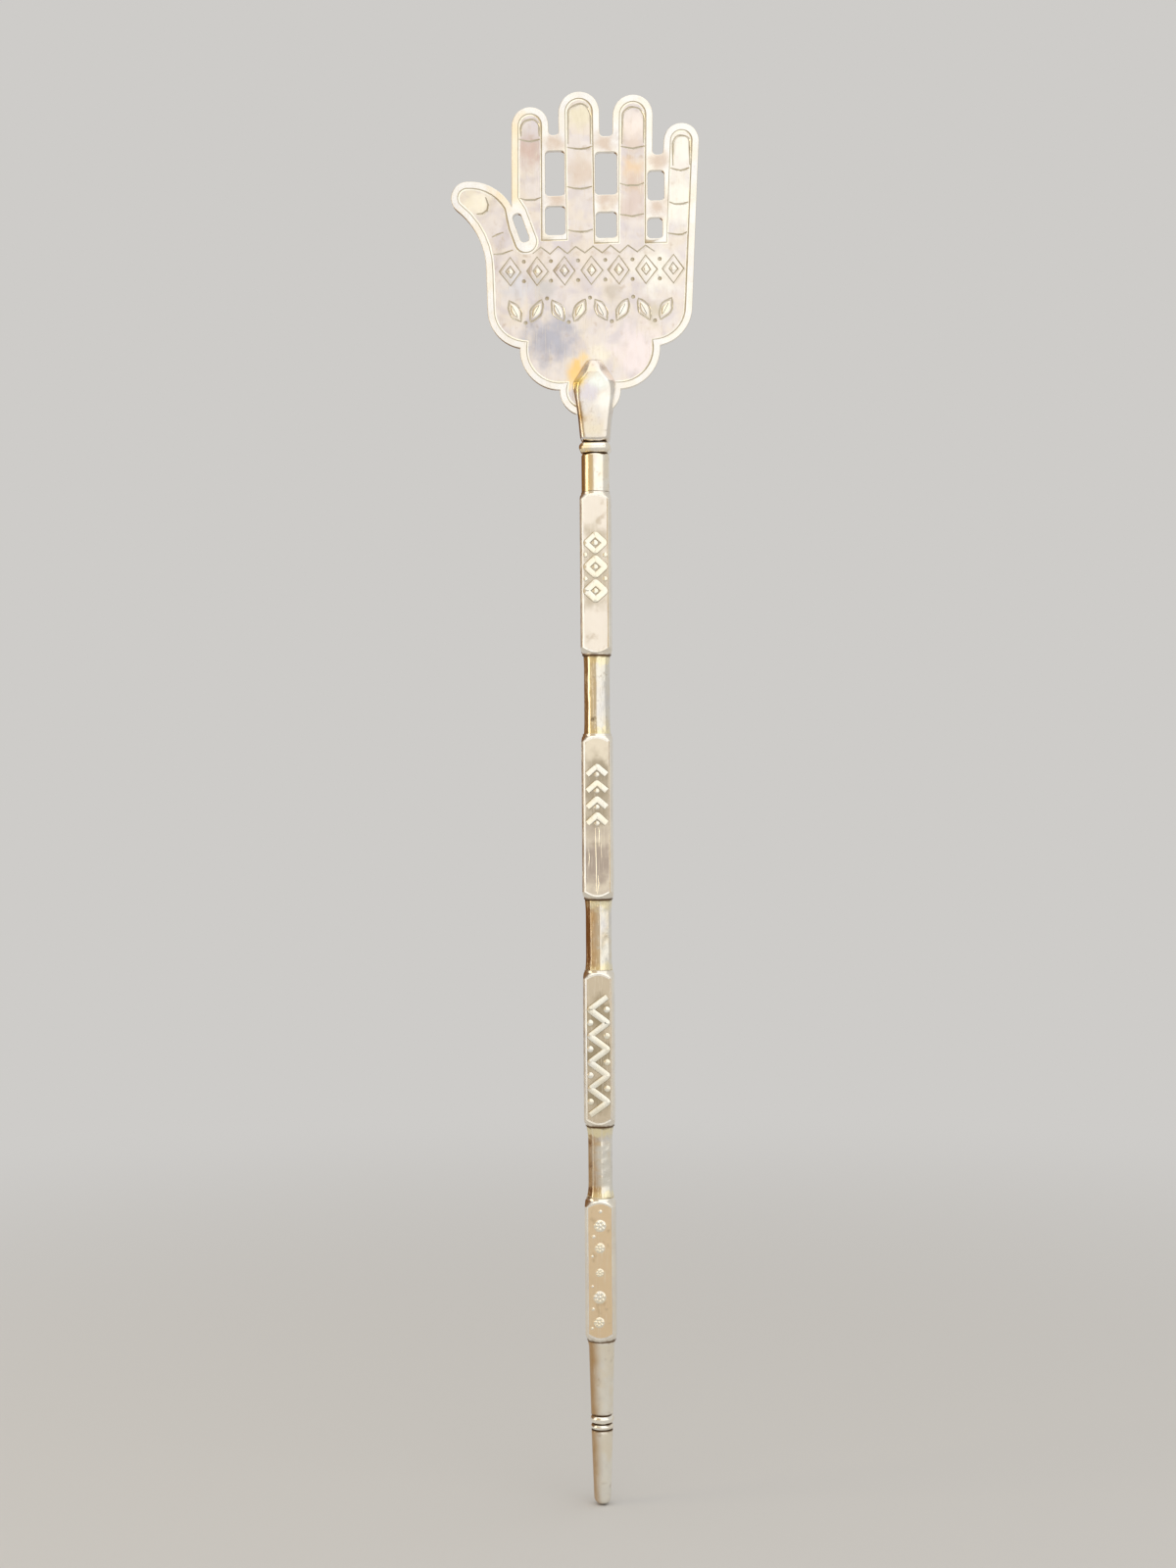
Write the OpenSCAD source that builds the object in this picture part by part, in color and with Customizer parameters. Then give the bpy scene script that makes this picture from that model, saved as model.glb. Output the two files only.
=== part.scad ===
// A silver reading pointer: a pierced flat hand of sheet silver stands in the slit of a faceted bud,
// and a staff of square blocks, eight-sided links, rings and round sleeves hangs below it.
// Every staff section is drilled through and threaded on one core rod, like beads on a wire.
// Sizes are in millimetres. +Z runs up the staff to the fingertips and the engraved palm looks along -Y.
// The origin is on the staff's axis in the middle of the second link, where the pointer is held.

/* [Core rod] */
// Diameter of the rod that runs through the staff
rod_d = 2.6; // [2:0.1:3.2]
// Gap between the rod and the wall of a drilled section
rod_gap = 0.05; // [0.02:0.01:0.1]
// Depth that the rod goes up into the bud
rod_in_bud = 3.6; // [2.5:0.1:4.4]
// Depth that the rod goes down into the pointing end
rod_in_point = 8; // [5:0.5:10]

/* [Square blocks] */
// Width of a block across its flats
block_w = 6.2; // [5.9:0.1:7.6]
// How far each long edge of a block is filed back
block_edge = 0.45; // [0.2:0.05:0.8]
// Height of the short round lip at each end of a block
lip_h = 0.45; // [0.2:0.05:0.8]
// Drop of the filed shoulder for each millimetre that it runs outwards
shoulder_rise = 1; // [0.6:0.1:1.5]
// Length that the blocks are cut to
block_len = 32; // [26:0.1:38]
// How much longer than that the top block came out
block_1_more = 1.3; // [-4:0.1:4]
// How much longer than that the second block came out
block_2_more = 1.7; // [-4:0.1:4]
// How much longer than that the third block came out
block_3_more = -0.2; // [-4:0.1:4]
// How much longer than that the lowest block came out
block_4_more = -2.9; // [-4:0.1:4]

/* [Eight-sided links] */
// Width of a link across its flats at the ends
link_w = 5.3; // [5.1:0.05:5.5]
// Length of the flare at each end of a link
link_flare = 3; // [1.5:0.1:4]
// Turn of a link's foremost edge towards the little finger's side, in degrees
link_turn = 11; // [0:1:22]
// Length that the links are cut to
link_len = 14.5; // [12:0.1:18]
// How much longer than that the link under the top block came out
link_1_more = 1.4; // [-2:0.1:2]
// How much longer than that the link that is held came out
link_2_more = -0.1; // [-2:0.1:2]
// How much longer than that the link above the lowest block came out
link_3_more = 0; // [-2:0.1:2]
// How far the facets of the link under the top block are filed in at its waist
link_1_waist = 0.1; // [0.08:0.02:0.4]
// How far the facets of the link that is held are filed in at its waist
link_2_waist = 0.18; // [0.08:0.02:0.4]
// How far the facets of the link above the lowest block are filed in at its waist
link_3_waist = 0.32; // [0.08:0.02:0.4]

/* [Neck and collar] */
// Diameter of the round neck sleeve
neck_d = 5.7; // [5:0.1:6.2]
// Length of the neck sleeve
neck_len = 7.9; // [6:0.1:10]
// Rounding of the neck sleeve's top edge
neck_round = 0.6; // [0.3:0.1:1]
// Width of the collar ring across its filed sides
collar_w = 6.4; // [6:0.1:7.5]
// Width of the flat filed on the collar ring's four corners
collar_corner = 1.4; // [0.8:0.1:2.2]
// Height of the collar ring
collar_h = 2.2; // [1.6:0.1:2.8]

/* [Lower end] */
// Length of the round sleeve under the lowest block
sleeve_len = 15.1; // [12:0.1:18]
// Diameter of that sleeve just under its flared top
sleeve_top_d = 5.2; // [5:0.1:5.6]
// Diameter of that sleeve at its foot
sleeve_foot_d = 4.5; // [4.3:0.1:4.9]
// Height of the flare at the sleeve's top
sleeve_flare = 1.3; // [0.8:0.1:2]
// Outer diameter of the upper ring
upper_ring_d = 4.8; // [4.6:0.1:5.4]
// Height of the upper ring
upper_ring_h = 1.9; // [1.4:0.1:2.4]
// Outer diameter of the lower ring
lower_ring_d = 4.6; // [4.4:0.1:5.2]
// Height of the lower ring
lower_ring_h = 1.2; // [0.9:0.1:1.6]
// Length of the pointing end
point_len = 15.4; // [13:0.1:20]
// Diameter of the pointing end at its top
point_top_d = 4.4; // [4.2:0.1:4.8]
// Diameter of the pointing end's rounded tip
point_tip_d = 3.5; // [3:0.1:4]

/* [Bud that holds the hand] */
// Height of the bud
bud_h = 16.8; // [15:0.1:20]
// Width of the bud at its fullest, seen from the palm side
bud_w = 8.8; // [8:0.1:10]
// Depth of the bud at its fullest, from front to back
bud_d = 7.4; // [7.2:0.1:9]
// Width of the flats filed on the bud's corners at its fullest
bud_corner = 2.2; // [1:0.1:2.4]
// Height of the solid foot under the slit
bud_foot = 5.9; // [5.3:0.1:6.8]
// Gap between the plate and each side of the slit
slit_gap = 0.05; // [0.02:0.01:0.1]

/* [Hand plate] */
// Thickness of the sheet
plate_t = 1.5; // [1:0.1:2]
// How far the plate's middle stands beside the staff's axis
plate_shift = -0.9; // [-1.5:0.1:1.5]
// Half width of the palm at its lower corners
palm_half = 20.9; // [19:0.1:23]
// Height of the palm's lower corners above the slit's floor
corner_v = 21.6; // [20:0.1:24]
// Radius of the palm's lower corners
corner_r = 8; // [7.4:0.1:9]
// Radius of the two lobes under the palm
lobe_r = 8.3; // [7.8:0.1:8.8]
// How far a lobe's middle lies inside the middle of the corner above it
lobe_in = 6.9; // [6.4:0.1:7.4]
// How far a lobe's middle lies below the middle of the corner above it
lobe_drop = 8.3; // [7.8:0.1:8.8]
// Radius of the small lobes at the wrist
wrist_r = 5.1; // [4.9:0.1:5.4]
// Height of the palm's top edge, where the pierced rows start
palm_top = 35.8; // [34.5:0.1:37]
// Width of a finger between the pierced windows
finger_w = 6.2; // [5.6:0.1:6.6]
// Height of a window in the lower row
low_window_h = 5.3; // [4.4:0.1:6]
// Height of a window in the upper row
high_window_h = 8.7; // [8:0.1:9.4]
// Height of the bars that cross the gaps between the fingers
bar_h = 3.2; // [2.6:0.1:3.8]
// Rounding of the windows' corners
window_r = 0.8; // [0.5:0.1:1.2]
// Height of the hand, from the slit's floor to the tip of the middle finger
hand_h = 65.7; // [64:0.1:72]
// How far the index finger's tip stays below that
index_drop = 2.9; // [0:0.1:4]
// How far the ring finger's tip stays below that
ring_drop = 0.9; // [0:0.1:4]
// How far the little finger's tip stays below that
little_drop = 6.9; // [4:0.1:8]
// Radius of the thumb's tip
thumb_r = 3.3; // [2.8:0.1:3.6]
// Length of the window between thumb and palm
thumb_window_len = 6.1; // [4.5:0.1:7]
// Width of the window between thumb and palm
thumb_window_w = 1.9; // [1.4:0.1:2.2]

/* [Hidden] */
$fn = 64;

SILVER = [0.80, 0.78, 0.74];
BRIGHT = [0.88, 0.86, 0.82];
OLD = [0.66, 0.62, 0.56];
ROD = [0.58, 0.58, 0.57];

block_1_len = block_len + block_1_more;
block_2_len = block_len + block_2_more;
block_3_len = block_len + block_3_more;
block_4_len = block_len + block_4_more;
link_1_len = link_len + link_1_more;
link_2_len = link_len + link_2_more;
link_3_len = link_len + link_3_more;

// Heights up the staff, each counted from the tip of the pointing end.
lower_ring_z = point_len;
upper_ring_z = lower_ring_z + lower_ring_h;
sleeve_z = upper_ring_z + upper_ring_h;
block_4_z = sleeve_z + sleeve_len;
link_3_z = block_4_z + block_4_len;
block_3_z = link_3_z + link_3_len;
link_2_z = block_3_z + block_3_len;
block_2_z = link_2_z + link_2_len;
link_1_z = block_2_z + block_2_len;
block_1_z = link_1_z + link_1_len;
neck_z = block_1_z + block_1_len;
collar_z = neck_z + neck_len;
bud_z = collar_z + collar_h;
plate_z = bud_z + bud_foot;
held_z = link_2_z + link_2_len / 2;

bore_r = rod_d / 2 + rod_gap;
facet = 45;                        // the angle between neighbouring facets
seat_r = link_w / 2 / cos(facet / 2);  // out to the corners of a link's end face
lip_r = seat_r + 0.08;             // the lips stand just proud of what meets them
past = 0.1;                        // how far a cut runs past the face that it opens
end_gap = 0.2;                     // air at each blind end of the rod's bore

// Moves a piece from its own foot to its height on the staff.
module on_staff(z) translate([0, 0, z - held_z]) children();

// The drilling for the core rod, through a section of height h.
module rod_bore(h) translate([0, 0, -past]) cylinder(r = bore_r, h = h + 2 * past);

// What is left of a bar filed to the same outline on two opposite sides.
// The outline is a list of [half width, height] from the foot to the top.
module filed_pair(outline) {
    n = len(outline) - 1;
    rotate([90, 0, 0])
        linear_extrude(height = 4 * max([for (q = outline) q[0]]), center = true)
            polygon(concat(outline, [for (i = [n : -1 : 0]) [-outline[i][0], outline[i][1]]]));
}

// A bar filed on four sides and on the corners between them: front and back, the two ends, the corners.
module filed_bar(front, side, corner) {
    intersection() {
        filed_pair(front);
        rotate(90) filed_pair(side);
        rotate(45) filed_pair(corner);
        rotate(-45) filed_pair(corner);
    }
}

// ---- core rod ----
rod_foot_z = point_len - rod_in_point + end_gap;
rod_head_z = bud_z + rod_in_bud - end_gap;

module core_rod() {
    color(ROD) on_staff(rod_foot_z) cylinder(d = rod_d, h = rod_head_z - rod_foot_z);
}

// ---- square blocks: a bar with filed edges, whose ends are filed down to a round lip ----
module block_bar(len) {
    half = block_w / 2;
    flat = half - block_edge;
    linear_extrude(height = len)
        polygon([[half, -flat], [half, flat], [flat, half], [-flat, half],
                 [-half, flat], [-half, -flat], [-flat, -half], [flat, -half]]);
}

module filed_ends(len) {
    reach = block_w;               // outside the bar's corners
    drop = lip_h + (reach - lip_r) * shoulder_rise;
    rotate_extrude()
        polygon([[0, 0], [lip_r, 0], [lip_r, lip_h], [reach, drop],
                 [reach, len - drop], [lip_r, len - lip_h], [lip_r, len], [0, len]]);
}

module block(len) {
    difference() {
        intersection() {
            block_bar(len);
            filed_ends(len);
        }
        rod_bore(len);
    }
}

module block_1() { color(SILVER) on_staff(block_1_z) block(block_1_len); }
module block_2() { color(SILVER) on_staff(block_2_z) block(block_2_len); }
module block_3() { color(OLD) on_staff(block_3_z) block(block_3_len); }
module block_4() { color(OLD) on_staff(block_4_z) block(block_4_len); }

// ---- eight-sided links: each facet is filed hollow, and flares out at both ends ----
flare_steps = 5;

// The half width at the share t of the way from an end to the waist.
function flared(waist, t) = link_w / 2 - waist * t * (2 - t);

module link(len, waist) {
    foot = [for (i = [0 : flare_steps]) [flared(waist, i / flare_steps), link_flare * i / flare_steps]];
    outline = concat(foot, [for (i = [flare_steps : -1 : 0]) [foot[i][0], len - foot[i][1]]]);
    difference() {
        rotate(link_turn + facet / 2) filed_bar(outline, outline, outline);
        rod_bore(len);
    }
}

module link_1() { color(BRIGHT) on_staff(link_1_z) link(link_1_len, link_1_waist); }
module link_2() { color(BRIGHT) on_staff(link_2_z) link(link_2_len, link_2_waist); }
module link_3() { color(BRIGHT) on_staff(link_3_z) link(link_3_len, link_3_waist); }

// ---- rings: half-round beads with flat faces ----
module ring(d, h) {
    rotate_extrude()
        difference() {
            union() {
                square([d / 2 - h / 2, h]);
                translate([d / 2 - h / 2, h / 2]) circle(d = h);
            }
            translate([-h, -past]) square([h + bore_r, h + 2 * past]);
        }
}

// The half-round outline of a ring's side, out to w from the middle.
function bead(w, h) = [for (a = [-90 : 15 : 90]) [w - h / 2 + h / 2 * cos(a), h / 2 + h / 2 * sin(a)]];

// The collar ring is filed to the bud's section: four sides with their corners taken off.
module collar_ring() {
    side = bead(collar_w / 2, collar_h);
    corner = bead(collar_w / sqrt(2) - collar_corner / 2, collar_h);
    color(BRIGHT) on_staff(collar_z)
        difference() {
            filed_bar(side, side, corner);
            rod_bore(collar_h);
        }
}

module upper_ring() { color(BRIGHT) on_staff(upper_ring_z) ring(upper_ring_d, upper_ring_h); }
module lower_ring() { color(BRIGHT) on_staff(lower_ring_z) ring(lower_ring_d, lower_ring_h); }

// ---- round sleeves ----
module neck_sleeve() {
    color(BRIGHT) on_staff(neck_z)
        rotate_extrude()
            difference() {
                union() {
                    square([neck_d / 2, neck_len - neck_round]);
                    square([neck_d / 2 - neck_round, neck_len]);
                    translate([neck_d / 2 - neck_round, neck_len - neck_round]) circle(r = neck_round);
                }
                translate([-neck_d, -past]) square([neck_d + bore_r, neck_len + 2 * past]);
            }
}

module tip_sleeve() {
    color(SILVER) on_staff(sleeve_z)
        difference() {
            union() {
                cylinder(d1 = sleeve_foot_d, d2 = sleeve_top_d, h = sleeve_len - sleeve_flare);
                translate([0, 0, sleeve_len - sleeve_flare])
                    cylinder(d1 = sleeve_top_d, r2 = seat_r, h = sleeve_flare);
            }
            rod_bore(sleeve_len);
        }
}

// ---- pointing end: a slim cone on a ball, drilled from its top ----
module pointing_end() {
    tip_r = point_tip_d / 2;
    color(SILVER) on_staff(0)
        difference() {
            union() {
                translate([0, 0, tip_r]) sphere(r = tip_r);
                translate([0, 0, tip_r]) cylinder(r1 = tip_r, d2 = point_top_d, h = point_len - tip_r);
            }
            translate([0, 0, point_len - rod_in_point]) cylinder(r = bore_r, h = rod_in_point + past);
        }
}

// ---- bud: a filed swelling, slit across so that its two cheeks hold the plate ----
// Each row is [share of the height, share of the half width, share of the half depth, share of the corner flat].
BUD = [[0, 0.53, 0.63, 0.75], [0.035, 0.67, 0.8, 0.5], [0.33, 0.77, 0.9, 0.42], [0.52, 0.89, 0.97, 0.5],
       [0.64, 0.98, 1, 0.72], [0.72, 1, 0.99, 0.95], [0.84, 0.73, 0.91, 1.2], [0.93, 0.53, 0.76, 0.95],
       [1, 0.37, 0.52, 0.6]];

module bud_socket() {
    front = [for (b = BUD) [b[1] * bud_w / 2, b[0] * bud_h]];
    side = [for (b = BUD) [b[2] * bud_d / 2, b[0] * bud_h]];
    corner = [for (b = BUD) [(b[1] * bud_w + b[2] * bud_d) / 2 / sqrt(2) - b[3] * bud_corner / 2, b[0] * bud_h]];
    color(BRIGHT) on_staff(bud_z)
        difference() {
            filed_bar(front, side, corner);
            translate([-bud_w, -plate_t / 2 - slit_gap, bud_foot])
                cube([2 * bud_w, plate_t + 2 * slit_gap, bud_h]);
            translate([0, 0, -past]) cylinder(r = bore_r, h = rod_in_bud + past);
        }
}

// ---- hand plate: places are [u across, v up] from the middle of the slit's floor ----
// Each finger is [middle at the palm, middle at the tip, radius of the tip, height of the tip].
FINGERS = [[-12.1, -11.95, 3.75, hand_h - index_drop], [-1.7, -1.95, 4.15, hand_h],
           [8.75, 9.05, 4.05, hand_h - ring_drop], [18, 18.9, 3.55, hand_h - little_drop]];
// Each gap between neighbours strays from even rows by
// [its foot, the height of its lower window, the height of its lower bar, the height of its upper window].
GAPS = [[0.8, 0.6, -1.1, 0.5], [0, 0, 0.3, 0], [-0.3, -1.1, 0.3, -2.6]];
// The thumb lies between a hollow outer arc and a full inner one, and its tip touches both.
thumb_outer = [-37.1, 29.6];
thumb_outer_r = 16;
thumb_inner = [-24.6, 37.9];
thumb_inner_r = 10;
thumb_window_at = [-13.95, 38.2];
thumb_window_turn = 20;
// The lower edge of one half of the palm: a corner, a large lobe and a small lobe at the wrist.
corner_c = [palm_half - corner_r, corner_v];
lobe_c = corner_c - [lobe_in, lobe_drop];
wrist_c = [1.1, 4.8];
arc_step = 18;                     // degrees between the points of an arc of radius 1; wider arcs have more

// The points of an arc about c from angle a to angle b, and of one from the direction of p to that of q.
function arc(c, r, a, b) = let (n = ceil(abs(b - a) * sqrt(r) / arc_step))
    [for (i = [0 : n]) c + r * [cos(a + (b - a) * i / n), sin(a + (b - a) * i / n)]];
function angle(c, p) = atan2(p[1] - c[1], p[0] - c[0]);
function arc_to(c, r, p, q) = arc(c, r, angle(c, p), angle(c, q));

// Where a circle of radius ra about a meets one of radius rb about b, on the left of the way from a to b.
function meet(a, ra, b, rb) =
    let (d = norm(b - a), w = (b - a) / d, x = (ra * ra - rb * rb + d * d) / (2 * d))
        a + x * w + sqrt(ra * ra - x * x) * [-w[1], w[0]];

// The middle of a finger at height v, from its foot on the palm to the middle of its round tip.
function finger_u(f, v) = f[0] + (f[1] - f[0]) * max(v - palm_top, 0) / (f[3] - f[2] - palm_top);

// Heights in gap i: foot and top of the lower window, foot and top of the upper window, foot of the slot.
function rows(i) =
    let (low = palm_top + GAPS[i][0], low_end = low + low_window_h + GAPS[i][1],
         high = low_end + bar_h + GAPS[i][2], high_end = high + high_window_h + GAPS[i][3])
        [low, low_end, high, high_end, high_end + bar_h];

// The foot of the slot over gap i, from its right side to its left, with rounded corners.
function slot(i) =
    let (v = rows(i)[4], left = finger_u(FINGERS[i], v) + FINGERS[i][2],
         right = finger_u(FINGERS[i + 1], v) - FINGERS[i + 1][2], r = min(window_r, (right - left) / 2.2))
        concat(arc([right - r, v + r], r, 0, -90), arc([left + r, v + r], r, -90, -180));

function finger_tip(f) = arc([f[1], f[3] - f[2]], f[2], 0, 180);

// The right half of the palm's lower edge, from the slit's floor up to the palm's side.
function palm_edge() =
    let (foot = [wrist_c[0] + sqrt(wrist_r * wrist_r - wrist_c[1] * wrist_c[1]), 0],
         wrist_cusp = meet(lobe_c, lobe_r, wrist_c, wrist_r), corner_cusp = meet(corner_c, corner_r, lobe_c, lobe_r))
        concat(arc_to(wrist_c, wrist_r, foot, wrist_cusp), arc_to(lobe_c, lobe_r, wrist_cusp, corner_cusp),
               arc_to(corner_c, corner_r, corner_cusp, corner_c + [1, 0]));

// The thumb from its crotch at the index finger, round its tip and down to the palm's side.
function thumb() =
    let (tip = meet(thumb_outer, thumb_outer_r + thumb_r, thumb_inner, thumb_inner_r - thumb_r),
         out_turn = angle(thumb_outer, tip), in_turn = angle(thumb_inner, tip),
         index_edge = FINGERS[0][0] - FINGERS[0][2], crotch_turn = acos((index_edge - thumb_inner[0]) / thumb_inner_r))
        concat(arc(thumb_inner, thumb_inner_r, crotch_turn, in_turn), arc(tip, thumb_r, in_turn, out_turn + 180),
               arc(thumb_outer, thumb_outer_r, out_turn, 0));

// Once round the hand, counter-clockwise from the wrist.
function hand_outline() =
    let (edge = palm_edge(), n = len(edge) - 1)
        concat(edge, [[FINGERS[3][0] + FINGERS[3][2], palm_top]],
               finger_tip(FINGERS[3]), slot(2), finger_tip(FINGERS[2]), slot(1), finger_tip(FINGERS[1]), slot(0),
               finger_tip(FINGERS[0]), thumb(), [for (i = [n : -1 : 0]) [-edge[i][0], edge[i][1]]]);

// A window with rounded corners between two opposite corners, a below and to the left of b.
module window(a, b) {
    r = window_r;
    polygon(concat(arc([b[0] - r, b[1] - r], r, 0, 90), arc([a[0] + r, b[1] - r], r, 90, 180),
                   arc([a[0] + r, a[1] + r], r, 180, 270), arc([b[0] - r, a[1] + r], r, 270, 360)));
}

// The two windows of gap i: the fingers beside them keep their width.
module windows(i) {
    v = rows(i);
    for (k = [0, 2]) {
        middle = (v[k] + v[k + 1]) / 2;
        window([finger_u(FINGERS[i], middle) + finger_w / 2, v[k]],
               [finger_u(FINGERS[i + 1], middle) - finger_w / 2, v[k + 1]]);
    }
}

module hand_plate() {
    color(SILVER) on_staff(plate_z)
        translate([plate_shift, plate_t / 2, 0]) rotate([90, 0, 0])
            linear_extrude(height = plate_t)
                difference() {
                    polygon(hand_outline());
                    for (i = [0 : 2]) windows(i);
                    translate(thumb_window_at) rotate(thumb_window_turn)
                        window([-thumb_window_w / 2, -thumb_window_len / 2], [thumb_window_w / 2, thumb_window_len / 2]);
                }
}

core_rod();
hand_plate();
bud_socket();
collar_ring();
neck_sleeve();
block_1();
link_1();
block_2();
link_2();
block_3();
link_3();
block_4();
tip_sleeve();
upper_ring();
lower_ring();
pointing_end();
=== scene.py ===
# A silver reading pointer: a pierced and engraved hand of sheet silver stands in a slit bud, on a staff
# of blocks, links, rings and sleeves that are threaded on one rod. The sections follow the making, from the
# rod and the pointing end up to the hand. Lengths are in metres, but outlines, patterns and the values
# called _MM are in millimetres.
import math

import bmesh
import bpy
from mathutils import Matrix, Vector


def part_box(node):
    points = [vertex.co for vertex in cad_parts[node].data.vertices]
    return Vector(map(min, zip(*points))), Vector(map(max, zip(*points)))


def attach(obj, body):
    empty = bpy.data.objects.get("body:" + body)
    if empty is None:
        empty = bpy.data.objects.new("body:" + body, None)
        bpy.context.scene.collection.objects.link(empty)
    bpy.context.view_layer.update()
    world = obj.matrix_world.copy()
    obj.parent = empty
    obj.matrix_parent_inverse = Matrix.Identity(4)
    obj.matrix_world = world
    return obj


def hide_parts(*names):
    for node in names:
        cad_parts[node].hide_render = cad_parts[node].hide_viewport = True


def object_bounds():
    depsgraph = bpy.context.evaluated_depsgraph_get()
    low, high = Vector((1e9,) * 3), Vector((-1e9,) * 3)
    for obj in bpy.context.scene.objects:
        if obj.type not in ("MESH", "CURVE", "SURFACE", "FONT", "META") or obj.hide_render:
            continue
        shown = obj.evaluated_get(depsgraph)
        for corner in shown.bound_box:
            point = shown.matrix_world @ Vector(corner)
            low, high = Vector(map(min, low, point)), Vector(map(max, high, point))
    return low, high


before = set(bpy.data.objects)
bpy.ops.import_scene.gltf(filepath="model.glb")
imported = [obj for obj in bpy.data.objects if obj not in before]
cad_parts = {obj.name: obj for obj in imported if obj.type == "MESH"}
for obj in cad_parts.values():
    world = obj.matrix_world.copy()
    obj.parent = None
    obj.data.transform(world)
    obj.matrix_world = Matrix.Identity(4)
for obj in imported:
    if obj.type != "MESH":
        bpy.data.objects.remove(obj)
cad_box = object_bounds()


# ---- core rod ----
# A drawn rod of plain metal runs through every section of the staff and holds them in line.
# It is closed in on all sides, so it keeps the dull drawn skin that it was bought with.

MM = 0.001


def colour(swatch):
    """A shader colour from a swatch's red, green and blue of 0 to 255, taken out of the sRGB curve."""
    steps = [value / 255 for value in swatch]
    return [s / 12.92 if s <= 0.04045 else ((s + 0.055) / 1.055) ** 2.4 for s in steps] + [1.0]


def feed(tree, inputs, given):
    """Gives these inputs of a node, by name or by number, a link, a value or a swatch each."""
    for name, value in given.items():
        socket = inputs[name]
        if isinstance(value, bpy.types.NodeSocket):
            tree.links.new(value, socket)
        else:
            socket.default_value = colour(value) if socket.type == "RGBA" else value


def add(tree, kind, given=None, **settings):
    """A new node in the tree, its inputs fed from given."""
    node = tree.nodes.new(kind)
    for name, value in settings.items():
        setattr(node, name, value)
    feed(tree, node.inputs, given or {})
    return node


def new_material(name):
    """A material with nodes, and its tree."""
    material = bpy.data.materials.new(name)
    material.use_nodes = True
    return material, material.node_tree


def new_metal(name, roughness):
    """A bare metal material, its tree and its shader."""
    material, tree = new_material(name)
    shader = tree.nodes["Principled BSDF"]
    feed(tree, shader.inputs, {"Metallic": 1.0, "Roughness": roughness})
    return material, tree, shader


def reckon(tree, operation, *values):
    """What a Math node makes of the values."""
    return add(tree, "ShaderNodeMath", dict(enumerate(values)), operation=operation).outputs[0]


def reckon_places(tree, operation, *values):
    """What a Vector Math node makes of the values: its outputs Vector and Value."""
    return add(tree, "ShaderNodeVectorMath", dict(enumerate(values)), operation=operation).outputs


def own_place(tree):
    """Where a point of the surface lies in the pointer's own frame."""
    return add(tree, "ShaderNodeTexCoord").outputs["Object"]


def noise(tree, where, scale, detail=2.0, **more):
    """A noise texture's outputs, Fac and Color."""
    sockets = {"Vector": where, "Scale": scale, "Detail": detail, **more}
    return add(tree, "ShaderNodeTexNoise", sockets).outputs


def remap(tree, value, low, high, to_low=0.0, to_high=1.0):
    """The value, taken smoothly from low..high to to_low..to_high."""
    sockets = {"Value": value, "From Min": low, "From Max": high, "To Min": to_low, "To Max": to_high}
    return add(tree, "ShaderNodeMapRange", sockets, interpolation_type="SMOOTHSTEP").outputs["Result"]


# A Mix node has a set of sockets for each kind of value. These are the ones that blend colours.
MIX_FACTOR, MIX_A, MIX_B, MIX_RESULT = 0, 6, 7, 2


def blend_colours(tree, factor, a, b):
    """Colour a where the factor is 0, b where it is 1."""
    sockets = {MIX_FACTOR: factor, MIX_A: a, MIX_B: b}
    return add(tree, "ShaderNodeMix", sockets, data_type="RGBA").outputs[MIX_RESULT]


def new_group(name, inputs, outputs):
    """An empty shader node group: its tree, the sockets that it is given and those that it makes."""
    tree = bpy.data.node_groups.new(name, "ShaderNodeTree")
    for socket, kind in inputs.items():
        tree.interface.new_socket(name=socket, in_out="INPUT", socket_type=kind)
    for socket, kind in outputs.items():
        tree.interface.new_socket(name=socket, in_out="OUTPUT", socket_type=kind)
    return tree, tree.nodes.new("NodeGroupInput").outputs, tree.nodes.new("NodeGroupOutput").inputs


FLOAT = "NodeSocketFloat"
COLOUR = "NodeSocketColor"


def make_scratches():
    """Fine scratches that run up the staff: a mask of thin lines, drawn out by the stretch."""
    tree, given, made = new_group(
        "scratches", {"Fineness": FLOAT, "Stretch": FLOAT, "Share": FLOAT}, {"Mask": FLOAT})
    # The noise seldom goes over highest, and the share lowers that bar to let more lines show.
    highest = 0.72
    softness = 0.07
    squeeze = reckon(tree, "DIVIDE", 1.0, given["Stretch"])
    scale = add(tree, "ShaderNodeCombineXYZ", {"X": 1.0, "Y": 1.0, "Z": squeeze}).outputs[0]
    drawn = reckon_places(tree, "MULTIPLY", own_place(tree), scale)["Vector"]
    lines = noise(tree, drawn, given["Fineness"], 3.0, Roughness=0.6)["Fac"]
    edge = reckon(tree, "SUBTRACT", highest, given["Share"])
    top = reckon(tree, "ADD", edge, softness)
    tree.links.new(remap(tree, lines, edge, top), made["Mask"])
    return tree


scratches = make_scratches()


def use(tree, group, **sockets):
    """The outputs of one use of a node group. _ in a socket's name stands for a space."""
    spaced = {name.replace("_", " "): value for name, value in sockets.items()}
    return add(tree, "ShaderNodeGroup", spaced, node_tree=group).outputs


def dress(mesh, materials):
    """Gives the mesh these materials, one slot each, in this order."""
    mesh.materials.clear()
    for material in materials:
        mesh.materials.append(material)


def paint(faces, slot):
    """Gives the faces the material in this slot."""
    for face in faces:
        face.material_index = slot


rod_skin, tree, shader = new_metal("drawn_rod_skin", 0.42)
die_lines = use(tree, scratches, Fineness=9000.0, Stretch=60.0, Share=0.22)["Mask"]
rod_tone = blend_colours(tree, die_lines, (158, 157, 154), (196, 194, 190))
tree.links.new(rod_tone, shader.inputs["Base Color"])

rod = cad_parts["core_rod"]
dress(rod.data, [rod_skin])


# ---- pointing end, lower ring, upper ring and tip sleeve ----
# Turned silver: a slim blunt point, two half-round rings and a tapered sleeve, worn bright where fingers
# hold them and brown with tarnish in the seams between them.


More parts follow.
